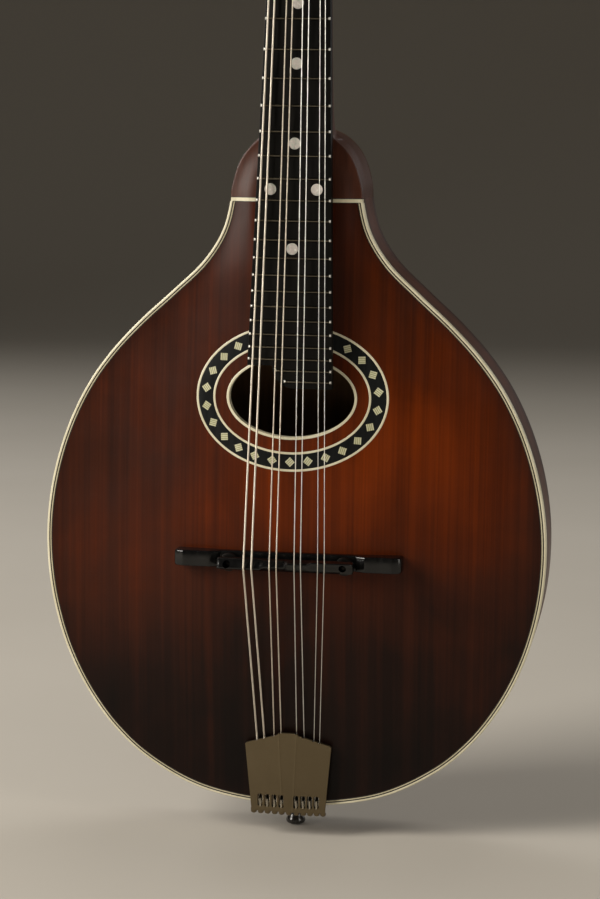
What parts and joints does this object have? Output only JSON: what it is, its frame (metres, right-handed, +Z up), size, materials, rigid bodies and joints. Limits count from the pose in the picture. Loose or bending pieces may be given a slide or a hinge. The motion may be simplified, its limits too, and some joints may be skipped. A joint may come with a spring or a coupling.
{
  "type": "a-style mandolin",
  "caption": "A-style mandolin: arched oval-hole body, bound top, fingerboard with treble extension, adjustable bridge, slotted metal tailpiece and geared tuning machines.",
  "frame": {"origin": "centre of the flat outer face of the end pin, on the centre line at half the depth of the sides", "axes": "+Z up the neck, the front (top plate and strings) faces -Y, +X to the right of someone looking at the front (treble side)"},
  "size_m": [0.2538, 0.0962, 0.6363],
  "materials": {
    "top_finish": "satin dark sunburst over spruce",
    "side_finish": "satin reddish brown",
    "back_finish": "satin reddish brown",
    "neck_finish": "satin dark brown",
    "bare_maple": "bare",
    "bare_spruce": "bare",
    "ebony": "satin black",
    "ivoroid": "aged cream",
    "rosette_inlay": "black band with pale squares and ivory rings",
    "bone": "polished bone",
    "black_overlay": "satin black",
    "fret_wire": "polished nickel silver",
    "steel": "plain",
    "black_metal": "blackened",
    "cast_nickel": "satin cast nickel",
    "nickel": "polished nickel",
    "button": "cream",
    "wound_string": "phosphor bronze winding",
    "plain_string": "plain steel"
  },
  "bodies": {
    "instrument": {"top_plate": "top_finish", "back_plate": "back_finish", "side_bass": "side_finish", "side_treble": "side_finish", "top_binding": "ivoroid", "rosette": "rosette_inlay", "neck_block": "bare_maple", "tail_block": "bare_maple", "top_lining_bass": "bare_spruce", "top_lining_treble": "bare_spruce", "back_lining_bass": "bare_spruce", "back_lining_treble": "bare_spruce", "top_brace": "bare_spruce", "neck": "neck_finish", "truss_rod": "steel", "fretboard": "ebony", "fret_set": "fret_wire", "nut": "bone", "headstock_overlay": "black_overlay", "truss_rod_cover": "black_overlay", "bridge_base": "ebony", "tailpiece": "cast_nickel", "end_pin": "ebony", "tuner_plate_bass": "nickel", "tuner_plate_treble": "nickel", "string_1": "wound_string", "string_2": "wound_string", "string_3": "wound_string", "string_4": "wound_string", "string_5": "plain_string", "string_6": "plain_string", "string_7": "plain_string", "string_8": "plain_string"},
    "saddle": {"bridge_saddle": "ebony"},
    "wheel_bass": {"thumbwheel_bass": "black_metal"},
    "wheel_treble": {"thumbwheel_treble": "black_metal"},
    "worm_1": {"tuner_worm_1": "nickel", "tuner_button_1": "button"},
    "post_1": {"tuner_post_1": "nickel"},
    "worm_2": {"tuner_worm_2": "nickel", "tuner_button_2": "button"},
    "post_2": {"tuner_post_2": "nickel"},
    "worm_3": {"tuner_worm_3": "nickel", "tuner_button_3": "button"},
    "post_3": {"tuner_post_3": "nickel"},
    "worm_4": {"tuner_worm_4": "nickel", "tuner_button_4": "button"},
    "post_4": {"tuner_post_4": "nickel"},
    "worm_5": {"tuner_worm_5": "nickel", "tuner_button_5": "button"},
    "post_5": {"tuner_post_5": "nickel"},
    "worm_6": {"tuner_worm_6": "nickel", "tuner_button_6": "button"},
    "post_6": {"tuner_post_6": "nickel"},
    "worm_7": {"tuner_worm_7": "nickel", "tuner_button_7": "button"},
    "post_7": {"tuner_post_7": "nickel"},
    "worm_8": {"tuner_worm_8": "nickel", "tuner_button_8": "button"},
    "post_8": {"tuner_post_8": "nickel"}
  },
  "joints": [
    {"name": "tuner_1_turn", "type": "hinge", "parent": "instrument", "child": "worm_1", "pos_m": [-0.019, 0.02132, 0.54134], "axis": [1, 0, 0], "continuous": true},
    {"name": "post_1_turn", "type": "hinge", "parent": "instrument", "child": "post_1", "pos_m": [-0.019, 0.00342, 0.54021], "axis": [0, -0.943, 0.3328], "continuous": true},
    {"name": "tuner_2_turn", "type": "hinge", "parent": "instrument", "child": "worm_2", "pos_m": [-0.019, 0.02898, 0.56303], "axis": [1, 0, 0], "continuous": true},
    {"name": "post_2_turn", "type": "hinge", "parent": "instrument", "child": "post_2", "pos_m": [-0.019, 0.01108, 0.56189], "axis": [0, -0.943, 0.3328], "continuous": true},
    {"name": "tuner_3_turn", "type": "hinge", "parent": "instrument", "child": "worm_3", "pos_m": [-0.019, 0.03663, 0.58472], "axis": [1, 0, 0], "continuous": true},
    {"name": "post_3_turn", "type": "hinge", "parent": "instrument", "child": "post_3", "pos_m": [-0.019, 0.01873, 0.58358], "axis": [0, -0.943, 0.3328], "continuous": true},
    {"name": "tuner_4_turn", "type": "hinge", "parent": "instrument", "child": "worm_4", "pos_m": [-0.019, 0.04429, 0.60641], "axis": [1, 0, 0], "continuous": true},
    {"name": "post_4_turn", "type": "hinge", "parent": "instrument", "child": "post_4", "pos_m": [-0.019, 0.02639, 0.60527], "axis": [0, -0.943, 0.3328], "continuous": true},
    {"name": "tuner_5_turn", "type": "hinge", "parent": "instrument", "child": "worm_5", "pos_m": [0.019, 0.04429, 0.60641], "axis": [1, 0, 0], "continuous": true},
    {"name": "post_5_turn", "type": "hinge", "parent": "instrument", "child": "post_5", "pos_m": [0.019, 0.02639, 0.60527], "axis": [0, -0.943, 0.3328], "continuous": true},
    {"name": "tuner_6_turn", "type": "hinge", "parent": "instrument", "child": "worm_6", "pos_m": [0.019, 0.03663, 0.58472], "axis": [1, 0, 0], "continuous": true},
    {"name": "post_6_turn", "type": "hinge", "parent": "instrument", "child": "post_6", "pos_m": [0.019, 0.01873, 0.58358], "axis": [0, -0.943, 0.3328], "continuous": true},
    {"name": "tuner_7_turn", "type": "hinge", "parent": "instrument", "child": "worm_7", "pos_m": [0.019, 0.02898, 0.56303], "axis": [1, 0, 0], "continuous": true},
    {"name": "post_7_turn", "type": "hinge", "parent": "instrument", "child": "post_7", "pos_m": [0.019, 0.01108, 0.56189], "axis": [0, -0.943, 0.3328], "continuous": true},
    {"name": "tuner_8_turn", "type": "hinge", "parent": "instrument", "child": "worm_8", "pos_m": [0.019, 0.02132, 0.54134], "axis": [1, 0, 0], "continuous": true},
    {"name": "post_8_turn", "type": "hinge", "parent": "instrument", "child": "post_8", "pos_m": [0.019, 0.00342, 0.54021], "axis": [0, -0.943, 0.3328], "continuous": true},
    {"name": "saddle_height", "type": "slide", "parent": "instrument", "child": "saddle", "axis": [0, -1, 0], "range_m": [-0.0015, 0]},
    {"name": "thumbwheel_bass_turn", "type": "hinge", "parent": "saddle", "child": "wheel_bass", "pos_m": [-0.0289, -0.0373, 0.1423], "axis": [0, -1, 0], "range_deg": [0, 675]},
    {"name": "thumbwheel_treble_turn", "type": "hinge", "parent": "saddle", "child": "wheel_treble", "pos_m": [0.0289, -0.0373, 0.1423], "axis": [0, -1, 0], "range_deg": [0, 675]}
  ],
  "couplings": [
    {"joint": "post_1_turn", "follows": "tuner_1_turn", "ratio": 0.066667},
    {"joint": "post_2_turn", "follows": "tuner_2_turn", "ratio": 0.066667},
    {"joint": "post_3_turn", "follows": "tuner_3_turn", "ratio": 0.066667},
    {"joint": "post_4_turn", "follows": "tuner_4_turn", "ratio": 0.066667},
    {"joint": "post_5_turn", "follows": "tuner_5_turn", "ratio": 0.066667},
    {"joint": "post_6_turn", "follows": "tuner_6_turn", "ratio": 0.066667},
    {"joint": "post_7_turn", "follows": "tuner_7_turn", "ratio": 0.066667},
    {"joint": "post_8_turn", "follows": "tuner_8_turn", "ratio": 0.066667},
    {"joint": "thumbwheel_bass_turn", "follows": "saddle_height", "rad_per_m": -7853.9},
    {"joint": "thumbwheel_treble_turn", "follows": "saddle_height", "rad_per_m": -7853.9}
  ]
}
